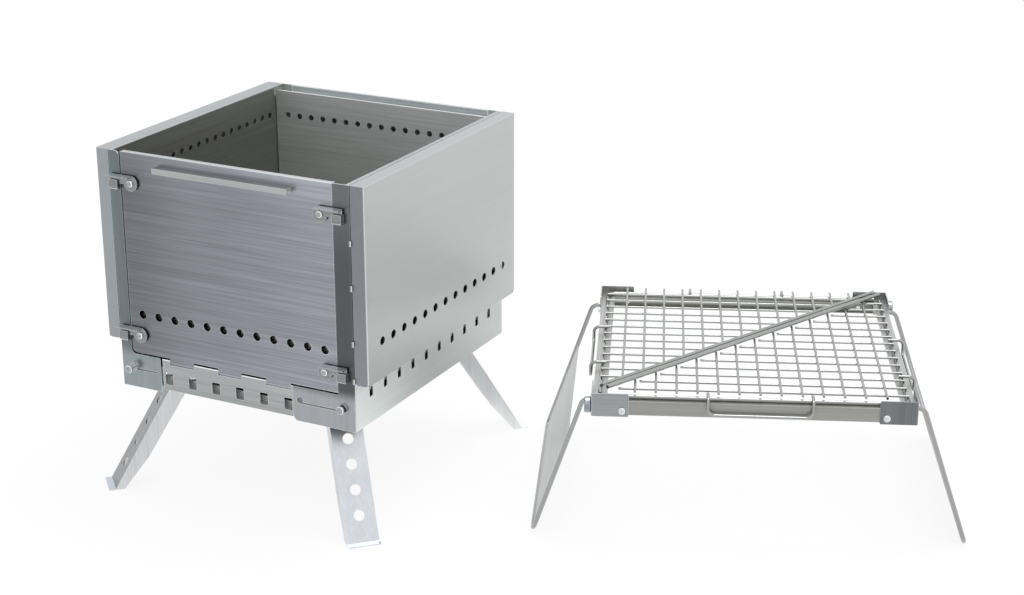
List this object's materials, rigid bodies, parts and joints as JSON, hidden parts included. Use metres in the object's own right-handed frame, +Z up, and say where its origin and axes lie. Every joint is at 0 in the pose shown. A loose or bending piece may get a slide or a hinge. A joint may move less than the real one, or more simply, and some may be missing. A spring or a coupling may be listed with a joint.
{
  "type": "portable grill fire pit",
  "caption": "Folding stainless fire box on splayed channel legs, with a lift-out door, ash pan and a separate folding grill stand that carries split wire grates.",
  "frame": {"origin": "middle of the footprint of the whole set, on the ground", "axes": "+Z up, +X to the right from the fire box to the grill stand, +Y away from the door of the fire box"},
  "size_m": [1.0805, 0.6692, 0.46],
  "materials": {
    "steel_sheet": "cold rolled stainless sheet with a fine brushed grain",
    "door_steel": "stainless sheet brushed crosswise, mid grey",
    "inner_steel": "stainless sheet, duller inside the fire chamber",
    "leg_steel": "stainless sheet brushed lengthwise",
    "latch_steel": "blanked and bent stainless, slightly polished",
    "fastener_steel": "bright turned and headed stainless",
    "rail_steel": "bent stainless channel, satin",
    "wire_steel": "bright drawn stainless wire and rod"
  },
  "bodies": {
    "fire_box": {"front_skirt": "steel_sheet", "back_skirt": "steel_sheet", "left_skirt": "steel_sheet", "right_skirt": "steel_sheet", "front_left_post": "steel_sheet", "front_right_post": "steel_sheet", "back_left_post": "steel_sheet", "back_right_post": "steel_sheet", "left_outer_shell": "steel_sheet", "right_outer_shell": "steel_sheet", "back_outer_shell": "steel_sheet", "left_inner_wall": "inner_steel", "right_inner_wall": "inner_steel", "back_inner_wall": "inner_steel", "bottom_plate": "steel_sheet", "base_tray": "inner_steel", "leg_hinge_brackets": "steel_sheet", "leg_hinge_pins": "fastener_steel", "latch_keepers": "steel_sheet", "slot_screws": "fastener_steel", "corner_hinge_knuckles": "steel_sheet"},
    "ash_pan": {"ash_pan": "inner_steel"},
    "fire_plate": {"fire_plate": "inner_steel"},
    "door": {"door_panel": "door_steel", "door_inner_panel": "inner_steel", "door_handle_rail": "steel_sheet", "latch_screws": "fastener_steel", "latch_washers": "fastener_steel"},
    "latch_top_left": {"latch_top_left": "latch_steel"},
    "latch_top_right": {"latch_top_right": "latch_steel"},
    "latch_bottom_left": {"latch_bottom_left": "latch_steel"},
    "latch_bottom_right": {"latch_bottom_right": "latch_steel"},
    "leg_front_right": {"leg_front_right": "leg_steel"},
    "leg_front_left": {"leg_front_left": "leg_steel"},
    "leg_back_right": {"leg_back_right": "leg_steel"},
    "leg_back_left": {"leg_back_left": "leg_steel"},
    "stand_frame": {"stand_front_rail": "rail_steel", "stand_back_rail": "rail_steel", "stand_left_rail": "rail_steel", "stand_right_rail": "rail_steel", "stand_bracket_front_left": "rail_steel", "stand_bracket_front_right": "rail_steel", "stand_bracket_back_left": "rail_steel", "stand_bracket_back_right": "rail_steel", "stand_rivets": "fastener_steel", "stand_pivot_lugs": "fastener_steel"},
    "stand_right_leg": {"stand_right_leg_rod": "wire_steel", "stand_right_leg_plate": "leg_steel"},
    "stand_left_leg": {"stand_left_leg_rod": "wire_steel", "stand_left_leg_plate": "leg_steel"},
    "back_grate": {"stand_back_grate_rim": "wire_steel", "stand_back_grate_cross_wires": "wire_steel", "stand_back_grate_long_wires": "wire_steel", "stand_back_grate_handles": "wire_steel"},
    "front_grate": {"stand_front_grate_rim": "wire_steel", "stand_front_grate_cross_wires": "wire_steel", "stand_front_grate_long_wires": "wire_steel", "stand_front_grate_handles": "wire_steel"},
    "right_leg_knob": {"stand_right_leg_knob": "fastener_steel"},
    "left_leg_knob": {"stand_left_leg_knob": "fastener_steel"}
  },
  "joints": [
    {"name": "ash_pan_lift", "type": "slide", "parent": "fire_box", "child": "ash_pan", "axis": [0, 0, 1], "range_m": [0, 0.35]},
    {"name": "fire_plate_lift", "type": "slide", "parent": "ash_pan", "child": "fire_plate", "axis": [0, 0, 1], "range_m": [0, 0.3]},
    {"name": "door_lift", "type": "slide", "parent": "fire_box", "child": "door", "axis": [0, 0, 1], "range_m": [0, 0.18]},
    {"name": "latch_top_left_swing", "type": "hinge", "parent": "door", "child": "latch_top_left", "pos_m": [-0.46878, -0.30082, 0.42], "axis": [0, 1, 0], "range_deg": [0, 95]},
    {"name": "latch_top_right_swing", "type": "hinge", "parent": "door", "child": "latch_top_right", "pos_m": [-0.18878, -0.30082, 0.42], "axis": [0, -1, 0], "range_deg": [0, 95]},
    {"name": "latch_bottom_left_swing", "type": "hinge", "parent": "door", "child": "latch_bottom_left", "pos_m": [-0.46878, -0.30082, 0.216], "axis": [0, 1, 0], "range_deg": [0, 95]},
    {"name": "latch_bottom_right_swing", "type": "hinge", "parent": "door", "child": "latch_bottom_right", "pos_m": [-0.18878, -0.30082, 0.216], "axis": [0, -1, 0], "range_deg": [0, 95]},
    {"name": "leg_front_right_fold", "type": "hinge", "parent": "fire_box", "child": "leg_front_right", "pos_m": [-0.20473, -0.24116, 0.15278], "axis": [0.7071, 0.7071, 0], "range_deg": [0, 80]},
    {"name": "leg_front_left_fold", "type": "hinge", "parent": "fire_box", "child": "leg_front_left", "pos_m": [-0.44682, -0.24116, 0.15278], "axis": [0.7071, -0.7071, 0], "range_deg": [0, 80]},
    {"name": "leg_back_right_fold", "type": "hinge", "parent": "fire_box", "child": "leg_back_right", "pos_m": [-0.20473, 0.04093, 0.15278], "axis": [-0.7071, 0.7071, 0], "range_deg": [0, 80]},
    {"name": "leg_back_left_fold", "type": "hinge", "parent": "fire_box", "child": "leg_back_left", "pos_m": [-0.44682, 0.04093, 0.15278], "axis": [-0.7071, -0.7071, 0], "range_deg": [0, 80]},
    {"name": "stand_lift", "type": "slide", "parent": "fire_box", "child": "stand_frame", "axis": [0, 0, 1], "range_m": [0, 0.3]},
    {"name": "stand_right_leg_fold", "type": "hinge", "parent": "stand_frame", "child": "stand_right_leg", "pos_m": [0.39669, 0.14396, 0.185], "axis": [-0.3875, 0.9219, 0], "range_deg": [0, 108]},
    {"name": "stand_left_leg_fold", "type": "hinge", "parent": "stand_frame", "child": "stand_left_leg", "pos_m": [0.05376, -0.0002, 0.185], "axis": [0.3875, -0.9219, 0], "range_deg": [0, 104]},
    {"name": "back_grate_lift", "type": "slide", "parent": "stand_frame", "child": "back_grate", "axis": [0, 0, 1], "range_m": [0, 0.25]},
    {"name": "front_grate_lift", "type": "slide", "parent": "stand_frame", "child": "front_grate", "axis": [0, 0, 1], "range_m": [0, 0.25]},
    {"name": "right_leg_knob_turn", "type": "hinge", "parent": "stand_frame", "child": "right_leg_knob", "pos_m": [0.33482, 0.3208, 0.185], "axis": [0.9219, 0.3875, 0], "range_deg": [0, 360]},
    {"name": "left_leg_knob_turn", "type": "hinge", "parent": "stand_frame", "child": "left_leg_knob", "pos_m": [0.11562, -0.17704, 0.185], "axis": [-0.9219, -0.3875, 0], "range_deg": [0, 360]}
  ]
}
